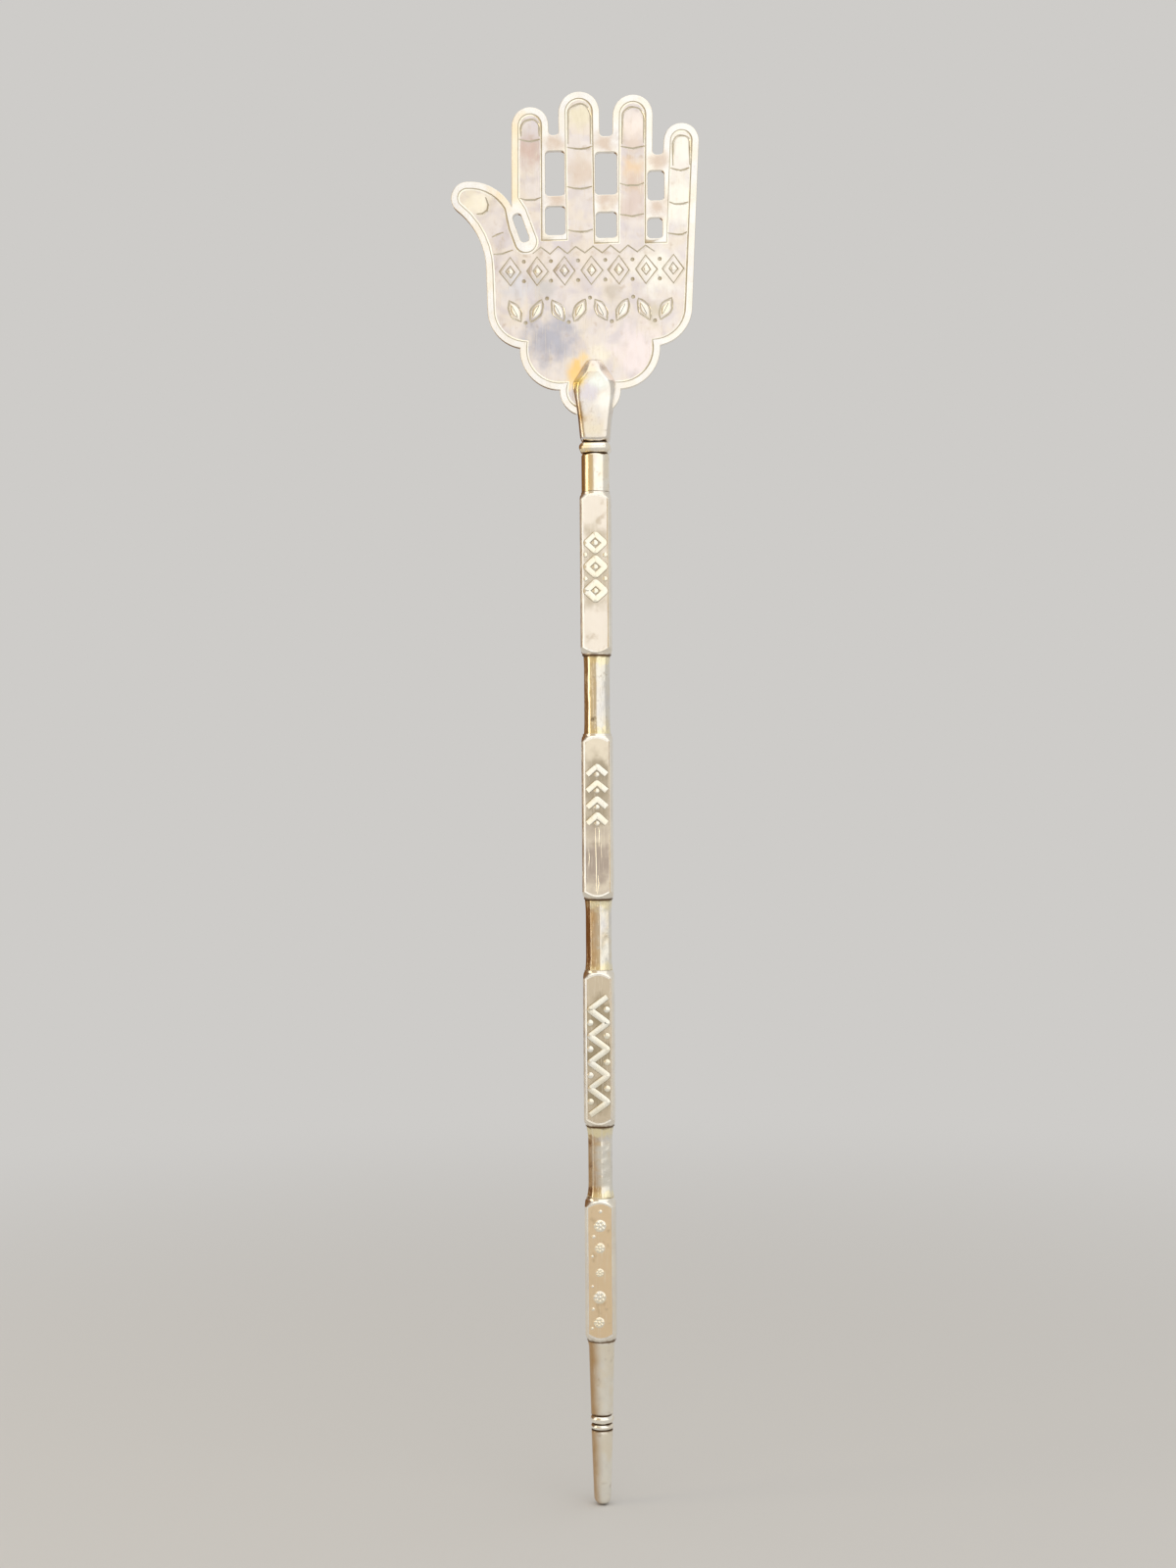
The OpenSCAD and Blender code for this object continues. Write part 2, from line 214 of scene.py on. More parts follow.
def make_patina():
    """Old silver's own colour: clean metal, clouds of warm and cool tarnish, and dark specks."""
    tree, given, made = new_group(
        "old_silver",
        {"Clean": COLOUR, "Warm": COLOUR, "Cool": COLOUR, "Dark": COLOUR, "Cloud": FLOAT, "Speck": FLOAT,
         "Warm Share": FLOAT, "Cool Share": FLOAT, "Dark Share": FLOAT},
        {"Colour": COLOUR, "Tarnish": FLOAT, "Height": FLOAT})
    where = own_place(tree)
    # The cool clouds come from another part of the noise, so that they don't lie on the warm ones.
    elsewhere = reckon_places(tree, "ADD", where, (0.31, 0.17, 0.43))["Vector"]
    warm = noise(tree, where, given["Cloud"], Distortion=0.6)["Fac"]
    cool = noise(tree, elsewhere, given["Cloud"], Distortion=0.6)["Fac"]
    speck = noise(tree, elsewhere, given["Speck"])["Fac"]
    # Each kind of tarnish: its noise, its name, and the value of the noise from which it starts to show.
    layers = ((warm, "Warm", 0.42), (cool, "Cool", 0.45), (speck, "Dark", 0.58))
    softness = 0.2
    tone = given["Clean"]
    for cloudy, kind, low in layers:
        cover = remap(tree, cloudy, low, low + softness)
        shown = reckon(tree, "MULTIPLY", cover, given[kind + " Share"])
        tone = blend_colours(tree, shown, tone, given[kind])
    # The last layer, the dark specks, also dulls the metal.
    feed(tree, made, {"Colour": tone, "Tarnish": shown, "Height": speck})
    return tree


def make_seams():
    """Tarnish that gathers where a staff section meets its neighbours, at the heights Foot and Head."""
    tree, given, made = new_group(
        "seam_tarnish", {"Foot": FLOAT, "Head": FLOAT, "Reach": FLOAT}, {"Mask": FLOAT})
    where = own_place(tree)
    height = add(tree, "ShaderNodeSeparateXYZ", {0: where}).outputs["Z"]
    ragged = noise(tree, where, 900.0, 3.0)["Fac"]
    reach = reckon(tree, "MULTIPLY", ragged, given["Reach"])
    above = reckon(tree, "SUBTRACT", height, given["Foot"])
    below = reckon(tree, "SUBTRACT", given["Head"], height)
    nearest = reckon(tree, "MINIMUM", above, below)
    tree.links.new(remap(tree, nearest, 0.0, reach, 1.0, 0.0), made["Mask"])
    return tree


patina = make_patina()
seams = make_seams()

BRIGHT = (250, 243, 228)
WARM = (232, 208, 170)
COOL = (222, 220, 226)
BROWN = (150, 118, 78)
SEAM_BROWN = (112, 84, 52)
# The cream painted as a highlight where the flares catch light from above.
PAINTED_FLARE_HIGHLIGHT = (255, 244, 204)
# Across the staff, the thumb's side takes the painted side reflection fully up to the first of these and
# none from the second.
SIDE_REFLECTION_FROM, SIDE_REFLECTION_TO = -1.2 * MM, 1.3 * MM
SIDE_REFLECTION_WANDER = 1.6 * MM
# How far from the ends of a section its painted cream highlight reaches, where the flares catch light from
# above.
FLARE_HIGHLIGHT_REACH = 7 * MM
# How far a stain's edge strays, as a share of its radius.
STAIN_DRIFT = 1.6
# How bright a scratch shows, and how much rougher the metal is under full tarnish.
SCRATCH_SHINE = 0.35
TARNISH_DULLS = 0.25


def painted_side_reflection(tree, here, tone, side_reflection_tone):
    """The tone, turned to a given tone on the thumb's side of the staff: a painted reflection of the
    surroundings there.
    """
    uneven = noise(tree, here, 190.0)["Fac"]
    across = add(tree, "ShaderNodeSeparateXYZ", {0: here}).outputs["X"]
    wandering = reckon(tree, "MULTIPLY_ADD", uneven, SIDE_REFLECTION_WANDER, across)
    return blend_colours(tree, remap(tree, wandering, SIDE_REFLECTION_FROM, SIDE_REFLECTION_TO, 1.0, 0.0), tone, side_reflection_tone)


def stained(tree, here, tone, tone_patches):
    """The tone with soft ragged patches of other tones."""
    ragged = noise(tree, here, 330.0, 4.0)["Color"]
    for spot, radius, stain in tone_patches:
        drift = STAIN_DRIFT * radius
        strayed = reckon_places(tree, "MULTIPLY_ADD", ragged, (drift,) * 3, here)["Vector"]
        middle = tuple(c + 0.5 * drift for c in spot)
        away = reckon_places(tree, "DISTANCE", strayed, middle)["Value"]
        patch = remap(tree, away, 0.2 * radius, 1.1 * radius, 0.95, 0.0)
        tone = blend_colours(tree, patch, tone, stain)
    return tone


def silver(name, foot, head, clean=BRIGHT, warm=WARM, cool=COOL, dark=BROWN, cloud=210.0, speck=900.0,
           warm_share=0.5, cool_share=0.4, dark_share=0.3, roughness=0.26, reach=1.1 * MM, dent_mm=0.07,
           flare_highlight=0.0, side_reflection_tone=None, tone_patches=()):
    """Old silver for one section between two heights, brown at its seams and bright on its worn edges.

    tone_patches are [place, radius, swatch]: soft patches of another tone. dent_mm is how deep the
    unevenness is, and flare_highlight how strongly a cream highlight is painted over the last few
    millimetres at each end.
    side_reflection_tone is the tone painted on the thumb's side as the reflection of the surroundings
    there.
    """
    material, tree, shader = new_metal(name, roughness)
    here = own_place(tree)
    old = use(tree, patina, Clean=clean, Warm=warm, Cool=cool, Dark=dark, Cloud=cloud, Speck=speck,
              Warm_Share=warm_share, Cool_Share=cool_share, Dark_Share=dark_share)
    seam = use(tree, seams, Foot=foot, Head=head, Reach=reach)["Mask"]
    fine = use(tree, scratches, Fineness=5200.0, Stretch=26.0, Share=0.13)["Mask"]
    rubbed = add(tree, "ShaderNodeAttribute", attribute_name="worn").outputs["Fac"]
    tone = old["Colour"]
    # Painted reflection: the thumb's side of the staff is turned to the tone that the surroundings there
    # cast on the metal.
    if side_reflection_tone:
        tone = painted_side_reflection(tree, here, tone, side_reflection_tone)
    if tone_patches:
        tone = stained(tree, here, tone, tone_patches)
    # Painted highlight: cream over the last few millimetres at each end, where the flares catch light from
    # above.
    if flare_highlight:
        end = use(tree, seams, Foot=foot, Head=head, Reach=FLARE_HIGHLIGHT_REACH)["Mask"]
        tone = blend_colours(tree, remap(tree, end, 0.2, 0.75, 0.0, flare_highlight), tone, PAINTED_FLARE_HIGHLIGHT)
    tone = blend_colours(tree, reckon(tree, "MULTIPLY", fine, SCRATCH_SHINE), tone, BRIGHT)
    tone = blend_colours(tree, rubbed, tone, BRIGHT)
    tone = blend_colours(tree, seam, tone, SEAM_BROWN)
    dull = reckon(tree, "MAXIMUM", seam, old["Tarnish"])
    rough = remap(tree, dull, 0.0, 1.0, roughness, roughness + TARNISH_DULLS)
    # The hand-worked surface swells softly, scratches lie a little lower, and specks stand a little proud.
    swell = noise(tree, here, 300.0, 1.0)["Fac"]
    grain = reckon(tree, "MULTIPLY_ADD", fine, -0.05, swell)
    grain = reckon(tree, "MULTIPLY_ADD", old["Height"], 0.12, grain)
    bump = add(tree, "ShaderNodeBump", {"Height": grain, "Distance": dent_mm * MM}).outputs[0]
    feed(tree, shader.inputs, {"Base Color": tone, "Roughness": rough, "Normal": bump})
    return material


def worked(node, edge, crisp=24.0, segments=2, upright=False):
    """A copy of a CAD piece with its crisp edges rubbed round, as a bmesh and the mesh it came from.

    The face attribute worn marks those edges, which turn by more than crisp degrees. upright rubs only the
    edges that run up the staff.
    """
    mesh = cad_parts[node].data.copy()
    bm = bmesh.new()
    bm.from_mesh(mesh)
    bmesh.ops.remove_doubles(bm, verts=bm.verts, dist=1e-6)
    bmesh.ops.dissolve_limit(bm, angle_limit=math.radians(0.4), verts=bm.verts, edges=bm.edges)
    worn = bm.faces.layers.float.new("worn")
    sharp = [e for e in bm.edges if e.is_manifold and e.calc_face_angle() > math.radians(crisp)]
    if upright:
        sharp = [e for e in sharp if abs((e.verts[0].co - e.verts[1].co).normalized().z) > 0.5]
    rounded = bmesh.ops.bevel(
        bm, geom=sharp, offset=edge, offset_type="OFFSET", segments=segments, profile=0.5,
        affect="EDGES", clamp_overlap=not upright, material=-1)
    for face in rounded["faces"]:
        face[worn] = 1.0
    bmesh.ops.remove_doubles(bm, verts=bm.verts, dist=0.14 * edge)
    return bm, mesh


def new_object(name, data):
    """A new object of the data, linked to the scene."""
    made = bpy.data.objects.new(name, data)
    bpy.context.scene.collection.objects.link(made)
    return made


def place(bm, mesh, name, node, slot, *materials, smooth=38.0):
    """Puts the finished mesh in the scene, in the CAD piece's stead where a node is given.

    Faces that meet at less than smooth degrees are shaded as one.
    """
    dress(mesh, materials)
    bm.to_mesh(mesh)
    bm.free()
    mesh.shade_smooth()
    mesh.set_sharp_from_angle(angle=math.radians(smooth))
    piece = new_object(name, mesh)
    piece.modifiers.new("flat_faces", "WEIGHTED_NORMAL").keep_sharp = True
    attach(piece, "root")
    if node:
        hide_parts(node)


def span(node):
    """The heights of a section's foot and head."""
    low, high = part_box(node)
    return low.z, high.z


for node in ("pointing_end", "lower_ring", "upper_ring", "tip_sleeve"):
    name = "turned_" + node
    bm, mesh = worked(node, 0.12 * MM)
    # The point and the sleeve get a painted brown reflection on the thumb's side; the thin rings get none.
    is_ring = node.endswith("_ring")
    finish = silver(
        name + "_silver", *span(node), clean=(255, 252, 242), warm=(248, 234, 206), cool=(242, 240, 234),
        roughness=0.22, reach=(0.5 if is_ring else 0.8) * MM, side_reflection_tone=None if is_ring else (200, 164, 118))
    place(bm, mesh, name, node, "staff_silver", finish)


# ---- square blocks ----
# Four lengths of square bar with filed edges and shoulders. The front of each is cut back to a sunk ground,
# and a plain old pattern is left standing on it: lozenges, chevrons, a zigzag with pellets, and rosettes.

SUNK_MM = 0.13
FRAME_MM = 0.3
# A stroke is rounded where it turns by more than this, over at most this share of the lines that meet.
SHARP_BEND = math.radians(25)
BEND_SHARE = 0.4


def rounded_bends(points, closed, reach):
    """The stroke with every sharp bend replaced by a short curve, so that it keeps its width there."""
    made = []
    count = len(points)
    for i, here in enumerate(points):
        before, after = Vector(points[i - 1]), Vector(points[(i + 1) % count])
        here = Vector(here)
        inner = closed or 0 < i < count - 1
        if not reach or not inner or (here - before).angle(after - here) < SHARP_BEND:
            made.append(tuple(here))
            continue
        start = here + (before - here).normalized() * min(reach, BEND_SHARE * (before - here).length)
        end = here + (after - here).normalized() * min(reach, BEND_SHARE * (after - here).length)
        for t in (0, 0.25, 0.5, 0.75, 1):
            made.append(tuple((1 - t) ** 2 * start + 2 * t * (1 - t) * here + t * t * end))
    return made


def settled(holder):
    """A new mesh of the object as its curves or modifiers shape it."""
    bpy.context.view_layer.update()
    shaped = holder.evaluated_get(bpy.context.evaluated_depsgraph_get())
    return bpy.data.meshes.new_from_object(shaped)


def swept(strokes, section, name, bend=0.3, swell=0.1, taper=1.0):
    """A mesh of the section [side, height] swept along flat strokes (points in mm, closed or not).

    bend is how far from each corner it starts to turn, swell how much its width varies, and taper the share
    of the width that is left at the ends of an open stroke.
    """
    profile = bpy.data.curves.new(name + "_section", "CURVE")
    outline = profile.splines.new("POLY")
    outline.points.add(len(section) - 1)
    for point, (side, height) in zip(outline.points, section):
        point.co = (side, height, 0, 1)
    outline.use_cyclic_u = True
    rule = new_object(name + "_section", profile)
    path = bpy.data.curves.new(name, "CURVE")
    path.dimensions = "3D"
    path.twist_mode = "Z_UP"
    path.bevel_mode = "OBJECT"
    path.bevel_object = rule
    path.use_fill_caps = True
    for points, closed in strokes:
        points = rounded_bends(points, closed, bend)
        line = path.splines.new("POLY")
        line.points.add(len(points) - 1)
        for point, (u, v) in zip(line.points, points):
            point.co = (u, v, 0, 1)
            point.radius = 1 + swell * math.sin(1.9 * u + 2.3 * v)
        line.use_cyclic_u = closed
        if not closed:
            line.points[0].radius = line.points[-1].radius = taper
    holder = new_object(name, path)
    mesh = settled(holder)
    bpy.data.objects.remove(holder)
    bpy.data.objects.remove(rule)
    return mesh


def on_front(mesh, u, y, z):
    """Turns a flat mesh in mm to stand on a front face: its own x, y and height become x, z and -y."""
    turn = Matrix(((MM, 0, 0, u), (0, 0, -MM, y), (0, MM, 0, z), (0, 0, 0, 1)))
    mesh.transform(turn)
    return mesh


def new_mesh(bm, name):
    """A new mesh made from the bmesh."""
    mesh = bpy.data.meshes.new(name)
    bm.to_mesh(mesh)
    bm.free()
    return mesh


def stood_on_front(bm, name, u, y, z):
    """The flat bmesh in mm, turned as on_front does and its faces outwards, and its mesh."""
    mesh = on_front(new_mesh(bm, name), u, y, z)
    bm = bmesh.new()
    bm.from_mesh(mesh)
    bmesh.ops.recalc_face_normals(bm, faces=bm.faces)
    return bm, mesh


def tidy(mesh):
    """The mesh in a bmesh, with its doubles merged, its ends closed and its faces outwards."""
    bm = bmesh.new()
    bm.from_mesh(mesh)
    bmesh.ops.remove_doubles(bm, verts=bm.verts, dist=1e-5)
    bmesh.ops.holes_fill(bm, edges=[e for e in bm.edges if e.is_boundary], sides=8)
    bmesh.ops.recalc_face_normals(bm, faces=bm.faces)
    return bm


def lozenge(u, v, half_w, half_h):
    """The corners of a lozenge round its middle."""
    return [(u - half_w, v), (u, v - half_h), (u + half_w, v), (u, v + half_h)]


# Half the width of the lozenges and chevrons.
PATTERN_HALF_MM = 1.95


def lozenges(low, high):
    """Strokes and pellets of a chain of lozenges between two heights, in mm."""
    half = (high - low) / 6
    middles = [low + half * (2 * i + 1) for i in range(3)]
    pellets = [(0, m, 0.6) for m in middles]
    pellets += [(side * 2.0, low + half * 2 * i, 0.5) for side in (-1, 1) for i in (1, 2)]
    return [(lozenge(0, m, PATTERN_HALF_MM, half - 0.65), True) for m in middles], pellets


def chevrons(low, high):
    """Strokes and pellets of a stack of chevrons between two heights, in mm."""
    step = (high - low) / 4
    feet = [low + step * i + 0.5 for i in range(4)]
    half = PATTERN_HALF_MM
    strokes = [([(-half, f), (0, f + step - 1.6), (half, f)], False) for f in feet]
    return strokes, [(0, f, 0.55) for f in feet]


def zigzag(low, high):
    """The stroke and pellets of a zigzag between two heights, in mm."""
    bends = 9
    step = (high - low) / bends
    line = [(1.8 if i % 2 else -1.8, low + step * i) for i in range(bends + 1)]
    pellets = [(-1.7 if i % 2 else 1.7, low + step * i, 0.68) for i in range(1, bends)]
    return [(line, False)], pellets


def pellet(bm, u, v, radius, rise, rings=5, sides=16):
    """A low domed boss on the sunk ground."""
    dome = bmesh.ops.create_uvsphere(bm, u_segments=sides, v_segments=2 * rings, radius=radius)
    bmesh.ops.scale(bm, verts=dome["verts"], vec=(1, 1, rise / radius))
    bmesh.ops.translate(bm, verts=dome["verts"], vec=(u, v, 0))


def rosette(bm, u, v, radius, petals=7):
    """A punched rosette: a ring of petals round a boss, on a low dome."""
    for i in range(petals):
        turn = 2 * math.pi * (i + 0.3) / petals
        petal = bmesh.ops.create_uvsphere(bm, u_segments=12, v_segments=8, radius=1.0)["verts"]
        bmesh.ops.scale(bm, verts=petal, vec=(radius * 0.34, radius * 0.24, SUNK_MM * 1.5))
        bmesh.ops.translate(bm, verts=petal, vec=(radius * 0.64, 0, 0))
        bmesh.ops.rotate(bm, verts=petal, matrix=Matrix.Rotation(turn, 3, "Z"))
        bmesh.ops.translate(bm, verts=petal, vec=(u, v, 0))
    pellet(bm, u, v, radius, SUNK_MM * 0.75, sides=24)
    pellet(bm, u, v, radius * 0.32, SUNK_MM * 1.5)


def tone_patches_on(spots, front, foot, middle=0.0):
    """Patches of tone for a front face, from spots: [across, above its foot, radius, swatch], in mm."""
    return [((middle + u * MM, front, foot + v * MM), radius * MM, tone) for u, v, radius, tone in spots]


# The section of a raised band and of the burr that a scratch throws up: [side, height], in mm.
BAND = [(-0.72, -0.1), (0.72, -0.1), (0.6, SUNK_MM - 0.02), (0.42, SUNK_MM + 0.05),
        (-0.42, SUNK_MM + 0.05), (-0.6, SUNK_MM - 0.02)]
SCRATCH = [(-0.14, -0.05), (0.14, -0.05), (0.0, 0.05)]
# Each block: its pattern, that pattern's lowest and highest edge above the block's foot in mm, and the
# tones of its ground, from the bright top block to the browner lowest one.
BLOCKS = {
    "block_1": (lozenges, 10.6, 25.2, (250, 242, 230), (212, 198, 176)),
    "block_2": (chevrons, 15.0, 28.2, (242, 232, 212), (192, 178, 154)),
    "block_3": (zigzag, 2.6, 26.6, (218, 204, 180), (164, 148, 120)),
    "block_4": (None, 0, 0, (240, 216, 180), (184, 160, 122)),
}
# The ground between the strokes was matted with a punch in three goes, and stayed darker than the ends.
MATTED = {"block_1": (202, 190, 168), "block_2": (176, 164, 142), "block_3": (172, 158, 130)}
MATTED_SPOTS = 3
# The spot of the second block's dulled plain half.
DULLED_HALF = (0.0, 7.5, 9, (182, 168, 156))
# The long scratches down that half, as strokes in mm.
SCORES = [
    ([(-0.25, 1.6), (-0.2, 6.0), (-0.3, 11.0), (-0.35, 14.6)], False),
    ([(0.35, 10.9), (0.45, 14.0), (0.3, 14.7)], False),
    ([(0.9, 8.6), (0.75, 11.4)], False),
    ([(-1.75, 6.9), (-1.6, 8.6), (-1.75, 10.2)], False),
    ([(-0.1, 1.2), (0.3, 3.2), (0.1, 5.0)], False),
]
# The lowest block's rosettes and the small dots beside them: [across, above the foot, radius], in mm.
ROSETTES = [(0.0, 23.7, 1.25), (-0.05, 19.2, 1.05), (-0.1, 14.2, 0.85), (-0.15, 9.2, 1.3),
            (-0.3, 4.1, 1.1)]
DOTS = [(-1.3, 21.5, 0.4), (-1.6, 17.5, 0.3), (-1.6, 11.4, 0.3), (-1.5, 6.8, 0.38), (-1.7, 2.9, 0.32),
        (0.1, 26.6, 0.4)]
# Of the faces that look forward, only a block's whole front is larger than this.
FRONT_AREA = 50 * MM * MM
SHOULDER_WEAR = 0.6
# The dark seam band is kept to the blocks' feet, their heads taken to be this far out of its reach: part
# joint tarnish, part painted shade under each block.
CLEAR_HEAD = 2 * MM
# A block's second material is its ground's. A relief has one for its crests and one for its sides, whose
# dark olive is part tarnish and part painted shade.
GROUND_SLOT = 1
CREST_SLOT, RELIEF_SHADE_SLOT = 0, 1

for node, (pattern, low_mm, high_mm, ground, ground_dark) in BLOCKS.items():
    name = "engraved_" + node
    foot, head = span(node)
    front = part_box(node)[0].y
    bm, mesh = worked(node, 0.13 * MM)
    worn = bm.faces.layers.float["worn"]
    for face in bm.faces:
        filed = abs(face.normal.y) < 0.9 and abs(face.normal.x) < 0.9
        face[worn] = max(face[worn], SHOULDER_WEAR if filed else 0.0)
    faces = [f for f in bm.faces if f.normal.y < -0.99 and f.calc_area() > FRONT_AREA]
    bmesh.ops.inset_region(bm, faces=faces, thickness=FRAME_MM * MM, depth=-SUNK_MM * MM)
    paint(faces, GROUND_SLOT)
    finish = silver(
        name + "_silver", foot, head + CLEAR_HEAD, clean=(252, 249, 240), warm_share=0.3, dark_share=0.2,
        roughness=0.22)
    spots = [DULLED_HALF] if node == "block_2" else []
    if pattern:
        step = (high_mm - low_mm) / MATTED_SPOTS
        spots += [(0.0, low_mm + step * (i + 0.5), 4.6, MATTED[node]) for i in range(MATTED_SPOTS)]
    ground_silver = silver(
        name + "_ground", foot, head + CLEAR_HEAD, clean=ground, warm=ground, cool=ground, dark=ground_dark,
        cloud=260.0, speck=500.0, dark_share=0.5, roughness=0.36, reach=0.7 * MM,
        tone_patches=tone_patches_on(spots, front, foot))
    place(bm, mesh, name, node, "block_silver", finish, ground_silver)

    if pattern:
        strokes, pellets = pattern(low_mm, high_mm)
        bm = tidy(swept(strokes, BAND, name + "_bands"))
    else:
        bm = bmesh.new()
        pellets = DOTS
        for u, v, radius in ROSETTES:
            rosette(bm, u, v, radius)
    if node == "block_2":
        bm.from_mesh(new_mesh(tidy(swept(SCORES, SCRATCH, "scores", taper=0.4)), "scores"))
    for u, v, radius in pellets:
        pellet(bm, u, v, radius, SUNK_MM)
    bm, relief = stood_on_front(bm, name + "_relief", 0, front + SUNK_MM * MM, foot)
    for face in bm.faces:
        face.material_index = RELIEF_SHADE_SLOT if face.normal.y > -0.8 and pattern else CREST_SLOT
    crest = silver(
        name + "_relief_silver", foot, head, clean=(255, 252, 238), warm=(255, 244, 214),
        cool=(248, 244, 238), dark_share=0.1, roughness=0.24)
    # The dark olive sides of the raised pattern: tarnish in the angle and painted shade beside the strokes.
    sides = silver(
        name + "_relief_shaded_sides", foot, head, clean=(158, 142, 112), warm=(146, 126, 92),
        cool=(150, 138, 118), roughness=0.4)
    place(bm, relief, name + "_relief", None, "block_silver", crest, sides)


# ---- eight-sided links ----
# Silver bar filed to eight sides, hollowed to a waist and flared again at the ends. The corners are left
# crisp and catch the light, brown tarnish lies in the flares at the seams, and a cream highlight is painted
# over the rest of the flares.

# How far each link's corners are rubbed back, in mm, in how many steps, and the tone painted on its thumb
# side as the reflection of the surroundings there. The top link is worn nearly round.
LINKS = {
    "link_1": (0.62, 5, (255, 244, 212)),
    "link_2": (0.16, 2, (222, 190, 144)),
    "link_3": (0.22, 2, (196, 160, 112)),
}
# The spot of the dark pit near the top link's foot.
PIT = (-0.8, 3.0, 0.9, (112, 92, 58))
# How worn the crisp corners look, from 0 to 1.
CORNER_WEAR = 0.4
# A link's lower seam is taken to lie this much down in the block, so less of it shows.
LOW_SEAM = 0.6 * MM

for node, (wear, steps, side_reflection_tone) in LINKS.items():
    name = "filed_" + node
    is_round = steps > 2
    bm, mesh = worked(node, wear * MM, segments=steps, upright=is_round)
    worn = bm.faces.layers.float["worn"]
    for face in bm.faces:
        face[worn] *= 0 if is_round else CORNER_WEAR
    foot, head = span(node)
    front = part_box(node)[0].y
    pits = tone_patches_on([PIT], front, foot) if node == "link_1" else []
    # The thumb's side gets a painted reflection in the tone above, and the ends a painted cream highlight.
    finish = silver(
        name + "_silver", foot - LOW_SEAM, head, clean=(240, 236, 224), warm=(238, 220, 184),
        dark_share=0.35, roughness=0.2, reach=1.2 * MM, dent_mm=0.26, flare_highlight=0.9, side_reflection_tone=side_reflection_tone, tone_patches=pits)
    place(bm, mesh, name, node, "staff_silver", finish)


# ---- neck sleeve and collar ring ----
# A round sleeve with a rolled top edge, and the half-round ring on it that is filed to the bud's section.

for node in ("neck_sleeve", "collar_ring"):
    name = "turned_" + node
    bm, mesh = worked(node, 0.1 * MM)
    # The thumb's side gets a painted golden reflection.
    finish = silver(
        name + "_silver", *span(node), clean=(255, 250, 238), warm=(250, 232, 196), warm_share=0.4,
        roughness=0.2, reach=0.4 * MM, side_reflection_tone=(255, 236, 192))
    place(bm, mesh, name, node, "staff_silver", finish)


# ---- bud ----
# A swelling filed from solid silver and slit across, its edges rubbed soft by years of handling. Its two
# cheeks grip the hand and solder holds it. The golden and brown patches on its left are painted reflection,
# and the near-white ones on its right painted highlights.

# Golden and brown on the left: painted reflection; near-white on the right: painted highlight; the rest
# tarnish.
BUD_STAINS_AND_REFLECTIONS = [
    (-3.2, 12.4, 3.0, (255, 226, 130)), (-3.9, 5.2, 3.0, (184, 152, 98)),
    (-1.0, 10.2, 3.0, (226, 220, 226)), (1.2, 12.0, 2.6, (246, 252, 244)),
    (2.4, 8.2, 2.6, (255, 252, 244)), (-0.4, 2.6, 2.6, (236, 226, 204)),
]
# The bud's surface is laid anew in cells of this size, and rubbed over so often.
BUD_CELL = 0.16 * MM
BUD_RUBS = 26


def rubbed_soft(bm, mesh, cell, rubs):
    """The piece laid anew in small cells and smoothed, so that every edge is rubbed soft."""
    bm.to_mesh(mesh)
    bm.free()
    holder = new_object("rubbed_soft", mesh)
    cells = holder.modifiers.new("cells", "REMESH")
    cells.mode = "VOXEL"
    cells.voxel_size = cell
    rubbing = holder.modifiers.new("rubbing", "SMOOTH")
    rubbing.factor = 0.5
    rubbing.iterations = rubs
    soft = settled(holder)
    bpy.data.objects.remove(holder)
    bm = bmesh.new()
    bm.from_mesh(soft)
    return bm, soft


foot, head = span("bud_socket")
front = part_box("bud_socket")[0].y
bm, mesh = worked("bud_socket", 0.2 * MM, crisp=20.0)
bm, mesh = rubbed_soft(bm, mesh, BUD_CELL, BUD_RUBS)
finish = silver(
    "bud_silver", foot, head, clean=(238, 231, 220), warm=(236, 214, 176), roughness=0.24, reach=0.5 * MM,
    tone_patches=tone_patches_on(BUD_STAINS_AND_REFLECTIONS, front, foot))
place(bm, mesh, "filed_bud", "bud_socket", "staff_silver", finish, smooth=60.0)


# ---- hand ----
# Sheet silver, sawn out and pierced. Inside a bright rim the field is chased down a little, and the finger
# creases, a zigzag and two bands of common ornament are cut into it with a graver.

HAND_FOOT, HAND_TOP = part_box("hand_plate")
# The palm's middle lies a little to the thumb's side of the staff.
HAND_MIDDLE = -0.9 * MM
RIM_MM = 1.25
FIELD_MM = 0.11
# The bright line that the burnisher has left along the foot of the rim.
BURNISHED_MM = 0.28
# From here on the hand's plan is in mm: across from its middle, and up from its foot.
PALM_TOP_MM = 35.8
# Each finger: its middle at the palm and at the tip, the radius of the tip and the height of the tip.
FINGERS = [(-12.1, -11.95, 3.75, 62.8), (-1.7, -1.95, 4.15, 65.7), (8.75, 9.05, 4.05, 64.8),
           (18.0, 18.9, 3.55, 58.8)]
# The lobes of the palm's lower edge: their middles on the right side, and their radii.
CORNER = Vector((12.9, 21.6))
LOBE = Vector((6.0, 13.3))
WRIST = Vector((1.1, 4.8))
CORNER_R, LOBE_R, WRIST_R = 8.0, 8.3, 5.1
# The two circles that the thumb lies between, and the radius of its tip.
THUMB_OUTER, THUMB_OUTER_R = Vector((-37.1, 29.6)), 16.0
THUMB_INNER, THUMB_INNER_R = Vector((-24.6, 37.9)), 10.0
THUMB_R = 3.3
# The pierced slot beside the thumb: its middle and its lean.
SLOT_MIDDLE = Vector((-13.95, 38.2))
SLOT_TURN = math.radians(20)
# The border round the slot: half its width, and how far it goes up on the right, down, and up on the left.
SLOT_HALF_W, SLOT_RIGHT, SLOT_FOOT, SLOT_LEFT = 2.1, 3.2, -3.0, 0.6
# Where the first finger's edge meets that border, and the field's edge between each two fingers.
FIRST_FINGER_FOOT = 44.4
BAYS = [35.7, 34.9, 34.7]
# The heights of each finger's creases, from the top one down.
CREASES = [(56.3, 44.3), (54.5, 46.4, 37.6), (54.4, 46.8, 40.6), (49.7, 42.8, 36.6)]
